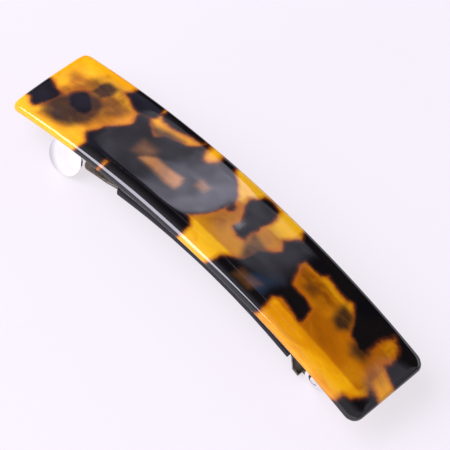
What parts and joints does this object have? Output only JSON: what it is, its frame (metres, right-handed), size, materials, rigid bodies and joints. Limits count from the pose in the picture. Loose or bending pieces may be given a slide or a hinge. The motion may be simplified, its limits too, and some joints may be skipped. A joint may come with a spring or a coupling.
{
  "type": "barrette",
  "caption": "Arched rectangular tortoiseshell hair barrette on a metal clip: hinged clasp arm with grip sleeve, bowed tension bar and squeeze-to-release latch ears.",
  "frame": {"origin": "under the middle of the barrette, level with the lowest points of the clip, where it stands on a table with the decorative face up", "axes": "+X along the length towards the hinge, +Y across the width, +Z out of the decorative face"},
  "size_m": [0.0892, 0.02, 0.0151],
  "materials": {
    "tortoiseshell_acetate": "polished translucent amber with brown and near-black patches",
    "clear_adhesive": "cured clear adhesive",
    "plated_steel": "bright nickel-plated sheet",
    "spring_steel": "bright spring strip",
    "black_sleeve": "satin black"
  },
  "bodies": {
    "base": {"acetate_plate": "tortoiseshell_acetate", "adhesive_film": "clear_adhesive", "base_strip": "plated_steel", "hinge_pin": "plated_steel", "tension_bar": "spring_steel"},
    "jaw_left": {"latch_jaw_left": "plated_steel"},
    "jaw_right": {"latch_jaw_right": "plated_steel"},
    "arm": {"clasp_arm": "plated_steel", "grip_sleeve": "black_sleeve"}
  },
  "joints": [
    {"name": "arm_hinge", "type": "hinge", "parent": "base", "child": "arm", "pos_m": [0.03163, 0, 0.0023], "axis": [0, -1, 0], "range_deg": [0, 70], "deforming": ["tension_bar"]},
    {"name": "squeeze_left", "type": "hinge", "parent": "base", "child": "jaw_left", "pos_m": [-0.03093, -0.0012, 0.00963], "axis": [1, 0, 0], "range_deg": [0, 8], "stiffness_Nm_per_rad": 0.3},
    {"name": "squeeze_right", "type": "hinge", "parent": "base", "child": "jaw_right", "pos_m": [-0.03093, 0.0012, 0.00963], "axis": [-1, 0, 0], "range_deg": [0, 8], "stiffness_Nm_per_rad": 0.3}
  ]
}
